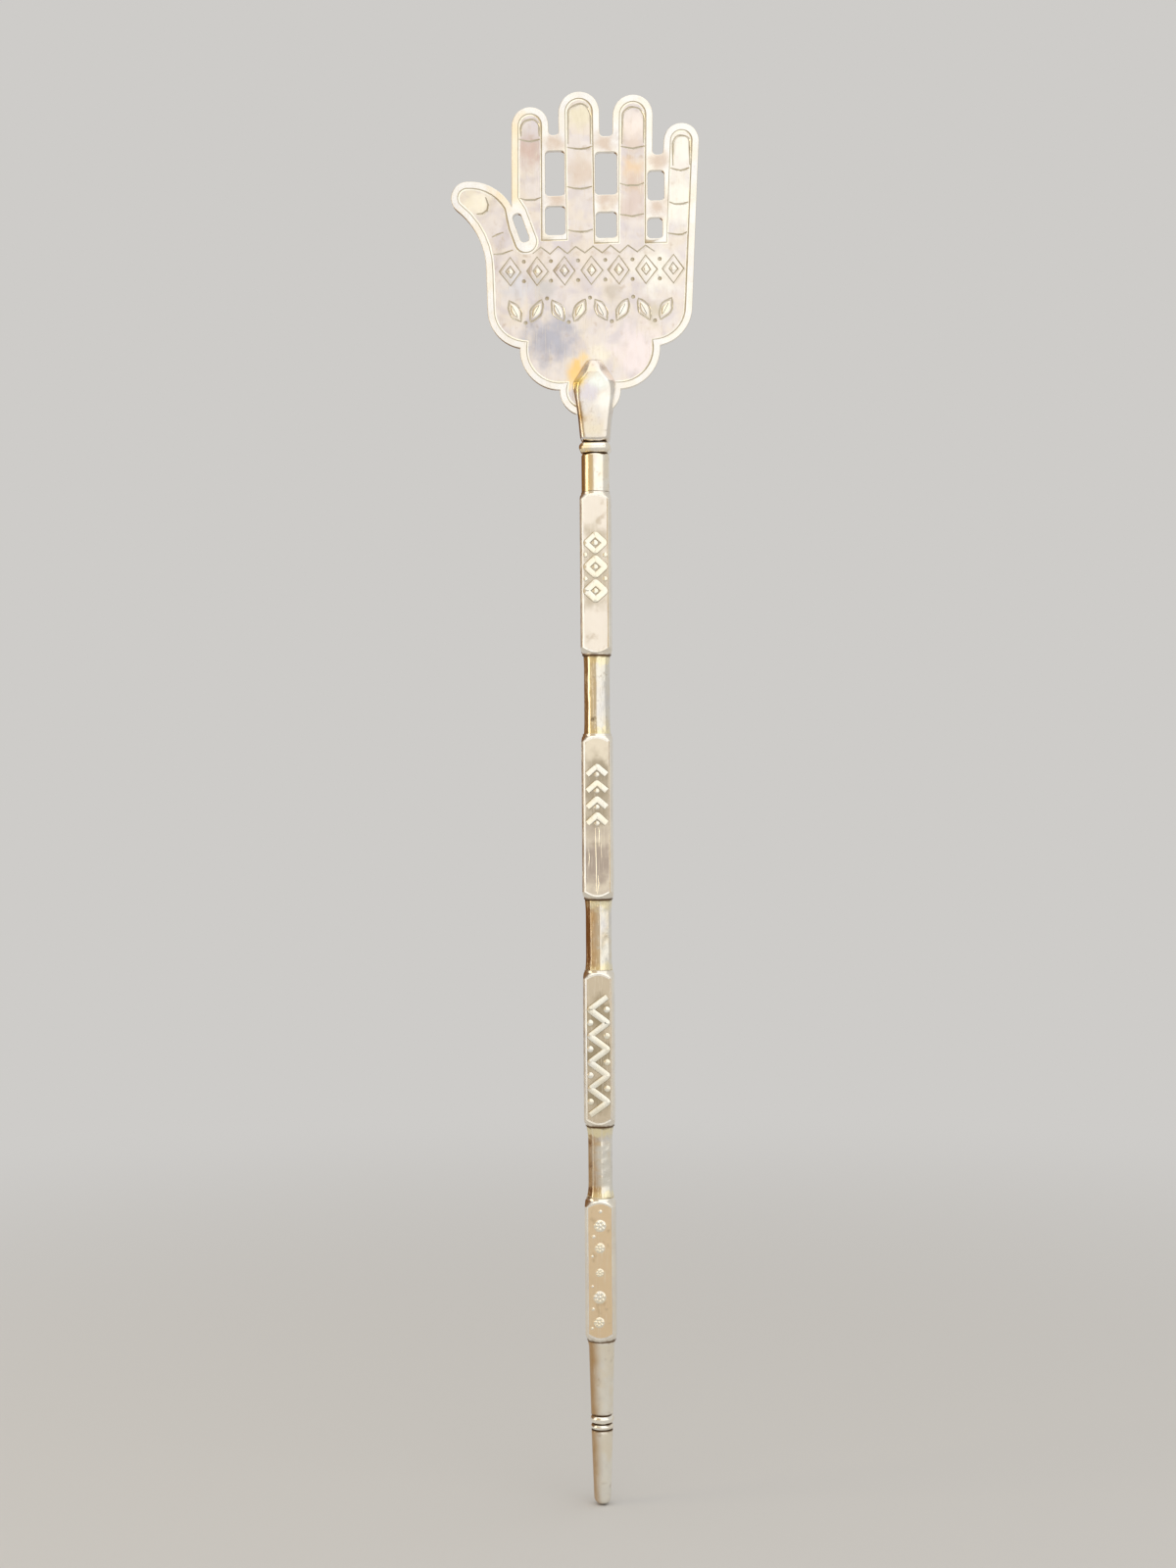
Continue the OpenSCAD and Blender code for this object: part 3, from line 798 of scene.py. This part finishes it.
# How far a crease stops short of the rim and how far it sags, and a nail's gap to the rim and the crease.
CREASE_GAP, CREASE_SAG = 0.35, 0.45
NAIL_GAP, NAIL_FOOT = 0.6, 0.5
# The round punch, and the bosses in the lozenges.
PUNCH_R, PUNCH_DEEP = 0.42, 0.13
BOSS_R, BOSS_HIGH = 0.5, 0.08


def arc(centre, radius, start, end, step=0.16):
    """Points on an arc between two angles."""
    count = max(2, math.ceil(abs(end - start) / step))
    turns = [start + (end - start) * i / count for i in range(count + 1)]
    return [(centre[0] + radius * math.cos(t), centre[1] + radius * math.sin(t)) for t in turns]


def angle(centre, point):
    """The angle at which the point is seen from the centre."""
    return math.atan2(point[1] - centre[1], point[0] - centre[0])


def meet(a, ra, b, rb):
    """Where two circles meet, on the left of the way from a to b."""
    d = (b - a).length
    way = (b - a) / d
    x = (ra * ra - rb * rb + d * d) / (2 * d)
    return a + x * way + math.sqrt(ra * ra - x * x) * Vector((-way.y, way.x))


def finger_middle(finger, v):
    """The middle of a finger at a height."""
    foot, tip, radius, top = finger
    return foot + (tip - foot) * max(v - PALM_TOP_MM, 0) / (top - radius - PALM_TOP_MM)


def by_hand(strokes, stray=0.07):
    """The strokes with the small strayings of a hand-held graver."""
    drawn = []
    for k, (points, closed) in enumerate(strokes):
        moved = [(u + stray * math.sin(3.1 * v + 1.7 * k), v + stray * math.cos(2.3 * u + 2.9 * k))
                 for u, v in points]
        drawn.append((moved, closed))
    return drawn


def field_outline():
    """Once round the chased field, counter-clockwise from its foot behind the bud."""
    wrist_r, lobe_r, corner_r = WRIST_R - RIM_MM, LOBE_R - RIM_MM, CORNER_R - RIM_MM
    low_cusp = meet(LOBE, lobe_r, WRIST, wrist_r)
    cusp = meet(CORNER, corner_r, LOBE, lobe_r)
    right = arc(WRIST, wrist_r, math.radians(-85), angle(WRIST, low_cusp))
    right += arc(LOBE, lobe_r, angle(LOBE, low_cusp), angle(LOBE, cusp))
    right += arc(CORNER, corner_r, angle(CORNER, cusp), 0)
    points = list(right)
    points.append((FINGERS[3][0] + FINGERS[3][2] - RIM_MM, PALM_TOP_MM))
    for i in (3, 2, 1, 0):
        foot, tip, radius, top = FINGERS[i]
        points += arc((tip, top - radius), radius - RIM_MM, 0, math.pi)
        if i:
            points.append((foot - radius + RIM_MM, BAYS[i - 1]))
            points.append((FINGERS[i - 1][0] + FINGERS[i - 1][2] - RIM_MM, BAYS[i - 1]))
    points.append((FINGERS[0][0] - FINGERS[0][2] + RIM_MM, FIRST_FINGER_FOOT))
    lean = Matrix.Rotation(SLOT_TURN, 2)
    for u, v in ((SLOT_HALF_W, SLOT_RIGHT), (SLOT_HALF_W, SLOT_FOOT)):
        points.append(tuple(SLOT_MIDDLE + lean @ Vector((u, v))))
    slot_foot = SLOT_MIDDLE + lean @ Vector((0, SLOT_FOOT))
    points += arc(slot_foot, SLOT_HALF_W, SLOT_TURN, SLOT_TURN - math.pi)[1:]
    points.append(tuple(SLOT_MIDDLE + lean @ Vector((-SLOT_HALF_W, SLOT_LEFT))))
    tip = meet(THUMB_OUTER, THUMB_OUTER_R + THUMB_R, THUMB_INNER, THUMB_INNER_R - THUMB_R)
    in_turn, out_turn = angle(THUMB_INNER, tip), angle(THUMB_OUTER, tip)
    points += arc(THUMB_INNER, THUMB_INNER_R - RIM_MM, math.radians(30), in_turn)
    points += arc(tip, THUMB_R - RIM_MM, in_turn, out_turn + math.pi)[1:-1]
    points += arc(THUMB_OUTER, THUMB_OUTER_R + RIM_MM, out_turn, 0)
    points += [(-u, v) for u, v in reversed(right)]
    return points


def finger_creases():
    """The creases of the fingers, each a shallow arc across the field, and then their nails."""
    strokes = []
    for finger, heights in zip(FINGERS, CREASES):
        half = finger[2] - RIM_MM - CREASE_GAP
        for v in heights:
            u = finger_middle(finger, v)
            crease = [(u + half * s, v - CREASE_SAG * (1 - s * s)) for s in (-1, -0.5, 0, 0.5, 1)]
            strokes.append((crease, False))
    for (_, u, radius, top), heights in zip(FINGERS, CREASES):
        nail_r = radius - RIM_MM - NAIL_GAP
        crown = arc((u, top - radius - NAIL_GAP), nail_r, 0, math.pi, 0.25)
        foot = heights[0] + NAIL_FOOT
        strokes.append(([(u + nail_r, foot)] + crown + [(u - nail_r, foot)], False))
    return strokes


# The strokes of the thumb's two creases and its nail's foot.
THUMB_CREASES = [
    ([(-19.9, 36.5), (-18.9, 36.9), (-17.5, 37.5)], False),
    ([(-19.6, 32.9), (-17.6, 33.0), (-15.6, 33.8)], False),
    ([(-23.0, 41.3), (-21.8, 41.3), (-20.9, 42.0), (-20.6, 43.2), (-21.1, 44.6)], False),
]


def leaf(u, v, long, wide, lean):
    """A pointed leaf of two arcs, leaning by the angle lean."""
    side = [(long * (i / 4 - 1), wide * math.sin(math.pi * i / 8)) for i in range(8)]
    other = [(long * (1 - i / 4), -wide * math.sin(math.pi * i / 8)) for i in range(8)]
    c, s = math.cos(lean), math.sin(lean)
    return [(u + x * c - y * s, v + x * s + y * c) for x, y in side + other]


# On the palm: each leaf's middle and lean, and each lozenge's middle.
LEAVES = [(-15.3 + 4.4 * i, 21.2, math.radians(62 if i % 2 else 118)) for i in range(8)]
LOZENGES = [(-16.2 + 5.55 * i, 29.3) for i in range(7)]


def palm_bands():
    """A zigzag under the fingers, a band of lozenges, and a band of leaves."""
    strokes = [([(-11.6 + 1.78 * i, 34.2 if i % 2 else 32.8) for i in range(15)], False)]
    for u, v in LOZENGES:
        strokes.append((lozenge(u, v, 2.2, 2.9), True))
        strokes.append((lozenge(u, v, 0.9, 1.2), True))
    for u, v, lean in LEAVES:
        strokes.append((leaf(u, v, 2.5, 1.15, lean), True))
    return strokes


# The places of the round punch: between the lozenges, and over and under the leaves.
PUNCH_MARKS = [(-13.4 + 5.55 * i, v) for i in range(6) for v in (31.3, 27.3)]
PUNCH_MARKS += [(-13.1 + 4.4 * i, 23.7 if i % 2 else 18.8) for i in range(7)]
# The hand's materials, in the order of hand_silvers.
RIM_SLOT, FIELD_SLOT, CUT_SLOT, BURNISHED_SLOT, BACK_SLOT = range(5)


def flat_prism(outline, top, depth, slope, name):
    """A cutter with sloping sides: the outline at the height top, drawn in by slope at the depth."""
    bm = bmesh.new()
    bm.faces.new([bm.verts.new((u, v, top)) for u, v in outline])
    bmesh.ops.remove_doubles(bm, verts=bm.verts, dist=0.02)
    face = next(iter(bm.faces))
    bmesh.ops.recalc_face_normals(bm, faces=[face])
    if face.normal.z > 0:
        face.normal_flip()
    extruded = bmesh.ops.extrude_face_region(bm, geom=[face])["geom"]
    moved = [g for g in extruded if isinstance(g, bmesh.types.BMVert)]
    floor = [g for g in extruded if isinstance(g, bmesh.types.BMFace)]
    bmesh.ops.translate(bm, verts=moved, vec=(0, 0, -top))
    bmesh.ops.inset_region(bm, faces=floor, thickness=slope, depth=0)
    for vert in {v for f in floor for v in f.verts}:
        vert.co.z = -depth
    burnished = bmesh.ops.inset_region(bm, faces=floor, thickness=BURNISHED_MM, depth=0)["faces"]
    bmesh.ops.recalc_face_normals(bm, faces=bm.faces)
    paint(bm.faces, CUT_SLOT)
    paint(burnished, BURNISHED_SLOT)
    paint(floor, FIELD_SLOT)
    return new_mesh(bm, name)


def cut(piece, mesh):
    """Cuts the closed mesh out of the piece."""
    cutter = new_object("cutter", mesh)
    trim = piece.modifiers.new("cut", "BOOLEAN")
    trim.operation = "DIFFERENCE"
    trim.solver = "EXACT"
    trim.use_self = True
    trim.object = cutter
    trim.material_mode = "INDEX"
    result = settled(piece)
    piece.modifiers.clear()
    piece.data = result
    bpy.data.objects.remove(cutter)


LILAC = (190, 190, 201)
ROSE = (250, 238, 236)
CREAM = (255, 252, 242)
# Tarnish on the palm and the fingers, and a painted warm reflection along the bud's left edge.
FIELD_STAINS_AND_BUD_REFLECTION = [
    (-8.2, 15.8, 7.5, LILAC), (-15.0, 26.5, 4.5, (226, 224, 228)),
    (9.6, 12.6, 7.0, ROSE), (13.6, 29.0, 6.0, CREAM),
    (-4.4, 6.0, 2.0, (255, 234, 198)), (-3.5, 8.2, 2.2, (255, 218, 146)),
    (-2.5, 9.9, 2.0, (255, 214, 140)), (-1.0, 11.4, 1.8, (255, 228, 176)),
    (2.4, 12.0, 2.8, (255, 248, 230)), (8.9, 55.0, 3.2, (230, 214, 202)),
    (8.9, 46.6, 3.2, (226, 204, 186)), (18.6, 43.0, 8.0, CREAM),
    (18.6, 54.0, 6.0, CREAM), (-23.4, 43.4, 4.5, (255, 248, 228)),
    (9.4, 58.5, 3.6, (252, 240, 232)), (8.9, 50.2, 2.6, (240, 214, 184)),
    (-12.2, 54.0, 4.0, (219, 196, 186)), (8.8, 42.5, 4.0, (228, 212, 204)),
    (-1.9, 61.0, 3.6, (244, 236, 212)), (-1.8, 49.0, 4.0, (228, 212, 198)),
    (-9.6, 26.0, 3.0, (214, 210, 208)), (4.4, 24.6, 2.6, (216, 206, 194)),
    (12.6, 20.6, 3.2, (222, 212, 194)),
]
# The middles of the bars between the fingers, where less of the polish reached, and the heights of the
# warm patches up the first finger's outer edge.
BARS = [(-7.0, 55.5), (-7.0, 43.9), (3.5, 55.3), (3.5, 43.4), (14.1, 51.4), (14.2, 42.0)]
WARM_EDGE = (46.0, 52.0, 58.0)
rim_stains = [(u, v, 3.0, (222, 204, 188)) for u, v in BARS]
rim_stains += [(-16.2, v, 5.0, (254, 236, 204)) for v in WARM_EDGE]
# The palm's face, foot and middle, which its stains are placed from.
hand_place = (HAND_FOOT.y, HAND_FOOT.z, HAND_MIDDLE)
# The hand has no seams, so its ends are taken to be well out of their reach.
hand_heights = (HAND_FOOT.z - 9 * MM, HAND_TOP.z + 9 * MM)
rim_silver = silver(
    "rim_silver", *hand_heights, clean=(251, 249, 245), warm=(250, 238, 212), cool=(238, 236, 236),
    cloud=170.0, dark_share=0.1, roughness=0.24, dent_mm=0.04, tone_patches=tone_patches_on(rim_stains, *hand_place))
field_silver = silver(
    "field_silver", *hand_heights, clean=(239, 231, 226), warm=(242, 230, 212), cool=(220, 212, 216),
    dark=(214, 198, 182), cloud=190.0, speck=560.0, cool_share=0.7, dark_share=0.6, roughness=0.3,
    dent_mm=0.14, tone_patches=tone_patches_on(FIELD_STAINS_AND_BUD_REFLECTION, *hand_place))
groove_silver = silver(
    "groove_silver", *hand_heights, clean=(196, 187, 166), warm=(178, 163, 134), cool=(202, 196, 184),
    dark=(146, 130, 104), cloud=260.0, roughness=0.42)
burnished_silver = silver(
    "burnished_silver", *hand_heights, clean=(255, 252, 240), warm=(255, 244, 214), dark_share=0.1,
    roughness=0.18)
# The plain back is seldom polished, so it has kept more of its tarnish.
back_silver = silver(
    "back_silver", *hand_heights, clean=(222, 212, 196), warm=(206, 186, 150), cool=(196, 194, 196),
    dark=(150, 130, 98), cloud=130.0, warm_share=0.7, cool_share=0.6, dark_share=0.6, roughness=0.34)
hand_silvers = (rim_silver, field_silver, groove_silver, burnished_silver, back_silver)

bm, mesh = worked("hand_plate", 0.22 * MM, crisp=60.0)
dress(mesh, hand_silvers)
for face in bm.faces:
    face.material_index = BACK_SLOT if face.normal.y > 0.99 else RIM_SLOT
bm.to_mesh(mesh)
bm.free()
blank = new_object("blank", mesh)
field = flat_prism(field_outline(), top=0.4, depth=FIELD_MM, slope=0.2, name="field")
cut(blank, on_front(field, HAND_MIDDLE, HAND_FOOT.y, HAND_FOOT.z))
# The section that the graver cuts: [side, height], in mm.
GROOVE = [(-0.26, 0.06), (0.26, 0.06), (0.0, -0.13)]
graver_strokes = by_hand(finger_creases() + THUMB_CREASES + palm_bands())
bm = tidy(swept(graver_strokes, GROOVE, "graver_lines", bend=0, swell=0, taper=0.6))
for u, v in PUNCH_MARKS:
    pellet(bm, u, v, PUNCH_R, PUNCH_DEEP, rings=4, sides=14)
paint(bm.faces, CUT_SLOT)
lines = new_mesh(bm, "graver_lines")
cut(blank, on_front(lines, HAND_MIDDLE, HAND_FOOT.y + FIELD_MM * MM, HAND_FOOT.z))
mesh = blank.data
bpy.data.objects.remove(blank)
bm = bmesh.new()
bm.from_mesh(mesh)
bmesh.ops.remove_doubles(bm, verts=bm.verts, dist=0.008 * MM)
bmesh.ops.dissolve_degenerate(bm, edges=bm.edges, dist=0.002 * MM)
place(bm, mesh, "engraved_hand", "hand_plate", "plate_silver", *hand_silvers, smooth=35.0)


# ---- graver burrs ----
# The graver throws up a bright burr along the lower right of each line. The leaves and the middles of the
# lozenges are left standing a little, and are rubbed as bright.

# The burr's section, [side, height] in mm, and how far it lies from the middle of its line.
BURR = [(-0.11, -0.05), (0.11, -0.05), (0.0, 0.045)]
BURR_RIGHT, BURR_DOWN = 0.24, 0.2
beside = [([(u + BURR_RIGHT, v - BURR_DOWN) for u, v in points], closed)
          for points, closed in graver_strokes]
bm = tidy(swept(beside, BURR, "burrs", bend=0, swell=0.4, taper=0.3))
upside_down = Matrix.Diagonal((1, 1, -1, 1))
for u, v, lean in LEAVES:
    pad = flat_prism(leaf(u, v, 1.75, 0.75, lean), top=0.06, depth=0.05, slope=0.1, name="leaf_pad")
    pad.transform(upside_down)
    bm.from_mesh(pad)
for u, v in LOZENGES:
    pellet(bm, u, v, BOSS_R, BOSS_HIGH, rings=4)
paint(bm.faces, 0)
bm, burrs = stood_on_front(bm, "graver_burrs", HAND_MIDDLE, HAND_FOOT.y + FIELD_MM * MM, HAND_FOOT.z)
place(bm, burrs, "graver_burrs", None, "plate_silver", burnished_silver)


# ---- solder in the slit ----
# Solder run into the foot of the bud's slit, where the round edge of the plate leaves it open on the right.
# It has set with a bulging outer face, and is greyer than the silver round it.

# The solder's size, and its middle from the staff's axis and above the hand's foot.
SOLDER_MM = (2.4, 1.5, 1.1)
SOLDER_ACROSS, SOLDER_UP = 2.1 * MM, 0.5 * MM
SOLDER_BULGE_MM = 0.12
bm = bmesh.new()
bmesh.ops.create_cube(bm, size=1.0)
bmesh.ops.subdivide_edges(bm, edges=bm.edges, cuts=2, use_grid_fill=True)
bmesh.ops.scale(bm, verts=bm.verts, vec=SOLDER_MM)
outer = [v for v in bm.verts if v.co.x > 1.1 and abs(v.co.y) < 0.5 and abs(v.co.z) < 0.4]
bmesh.ops.translate(bm, verts=outer, vec=(SOLDER_BULGE_MM, 0, 0))
bmesh.ops.scale(bm, verts=bm.verts, vec=(MM, MM, MM))
bmesh.ops.translate(bm, verts=bm.verts, vec=(SOLDER_ACROSS, 0, HAND_FOOT.z + SOLDER_UP))
solder = bpy.data.meshes.new("solder")
solder_silver = silver(
    "solder_silver", *hand_heights, clean=(212, 206, 192), warm=(206, 186, 148), cool=(190, 188, 184),
    dark_share=0.5, roughness=0.38)
place(bm, solder, "solder_in_slit", None, "staff_silver", solder_silver)


# ---- floor, lights and camera ----
# A pale floor that fades into the pale surroundings, a large soft light on the right, one overhead and a
# small warm one on the left, two cards for the metal to reflect, and the camera, a little to the right and
# turned so that the hand leans left.

PALE = (206, 204, 201)
# The floor fades into its surroundings between these distances from the pointer.
FADE_FROM, FADE_TO = 0.12, 0.55
bm = bmesh.new()
bmesh.ops.create_circle(bm, cap_ends=True, segments=96, radius=3.0)
bmesh.ops.translate(bm, verts=bm.verts, vec=(0, 0, cad_box[0].z))
floor_mesh = new_mesh(bm, "floor")
floor = new_object("floor", floor_mesh)
material, tree = new_material("pale_floor")
shader = tree.nodes["Principled BSDF"]
feed(tree, shader.inputs, {"Base Color": PALE, "Roughness": 0.9, "Specular IOR Level": 0.1})
distance = reckon_places(tree, "LENGTH", own_place(tree))["Value"]
far = remap(tree, distance, FADE_FROM, FADE_TO)
glow = add(tree, "ShaderNodeEmission", {"Color": PALE}).outputs[0]
mixed = add(tree, "ShaderNodeMixShader", {0: far, 1: shader.outputs[0], 2: glow}).outputs[0]
tree.links.new(mixed, tree.nodes["Material Output"].inputs["Surface"])
dress(floor_mesh, [material])

world = bpy.data.worlds.new("pale_room")
bpy.context.scene.world = world
world.use_nodes = True
surroundings = world.node_tree.nodes["Background"]
feed(world.node_tree, surroundings.inputs, {"Color": PALE, "Strength": 1.0})

# The middle of the picture. The lights and the camera face it.
CENTRE = Vector((-1.97 * MM, 0, 30.7 * MM))


def outward(turn, rise=0.0):
    """The way out from the palm, turned to its right by so many degrees and rising."""
    return Vector((math.sin(math.radians(turn)), -math.cos(math.radians(turn)), rise))


def soft_light(name, away, distance, wide, high, radiance, tint):
    """A rectangular soft light that stands off from the pointer and faces it."""
    lamp = bpy.data.lights.new(name, "AREA")
    lamp.shape = "RECTANGLE"
    lamp.size = wide
    lamp.size_y = high
    # Lamps of the same radiance look as bright, whatever their size.
    lamp.energy = radiance * 4 * wide * high
    lamp.color = tint
    holder = new_object(name, lamp)
    holder.location = CENTRE + distance * away
    holder.rotation_euler = away.to_track_quat("Z", "Y").to_euler()


soft_light("large_soft_light", outward(28, 0.1), 0.62, 1.04, 0.9, 0.40, (1.0, 0.985, 0.955))
soft_light("small_warm_light", outward(-72, 0.1), 0.6, 0.2, 0.7, 1.3, (1.0, 0.84, 0.56))
soft_light("overhead_soft_light", Vector((0, -0.25, 1)), 0.75, 1.1, 1.1, 0.55, (1.0, 0.985, 0.96))


def reflector_card(name, turn, distance, wide, high, tone):
    """A card that only the bare metal sees, to give its bright faces a darker neighbour."""
    away = outward(turn)
    bm = bmesh.new()
    bmesh.ops.create_grid(bm, x_segments=1, y_segments=1, size=0.5)
    bmesh.ops.scale(bm, verts=bm.verts, vec=(wide, high, 1))
    bmesh.ops.transform(bm, verts=bm.verts, matrix=away.to_track_quat("Z", "Y").to_matrix().to_4x4())
    bmesh.ops.translate(bm, verts=bm.verts, vec=CENTRE + distance * away)
    mesh = new_mesh(bm, name)
    material, tree = new_material(name)
    glow = add(tree, "ShaderNodeEmission", {"Color": tone}).outputs[0]
    tree.links.new(glow, tree.nodes["Material Output"].inputs["Surface"])
    dress(mesh, [material])
    card = new_object(name, mesh)
    for rays in ("camera", "diffuse", "shadow", "transmission", "volume_scatter"):
        setattr(card, "visible_" + rays, False)


reflector_card("front_left_card", -38, 0.60, 0.50, 1.2, (202, 182, 152))
reflector_card("back_left_card", -132, 0.55, 0.95, 1.2, (122, 88, 56))

CAMERA_TURN = 3.5
CAMERA_ROLL = math.radians(-0.41)
CAMERA_DISTANCE = 450 * MM
FRAME_HEIGHT = 320 * MM
camera_data = bpy.data.cameras.new("camera")
camera_data.lens = camera_data.sensor_width * CAMERA_DISTANCE / FRAME_HEIGHT
camera = new_object("camera", camera_data)
back = outward(CAMERA_TURN)
camera.location = CENTRE + CAMERA_DISTANCE * back
level = back.to_track_quat("Z", "Y").to_matrix()
camera.rotation_euler = (level @ Matrix.Rotation(CAMERA_ROLL, 3, "Z")).to_euler()
bpy.context.scene.camera = camera
bpy.context.scene.view_settings.view_transform = "Standard"
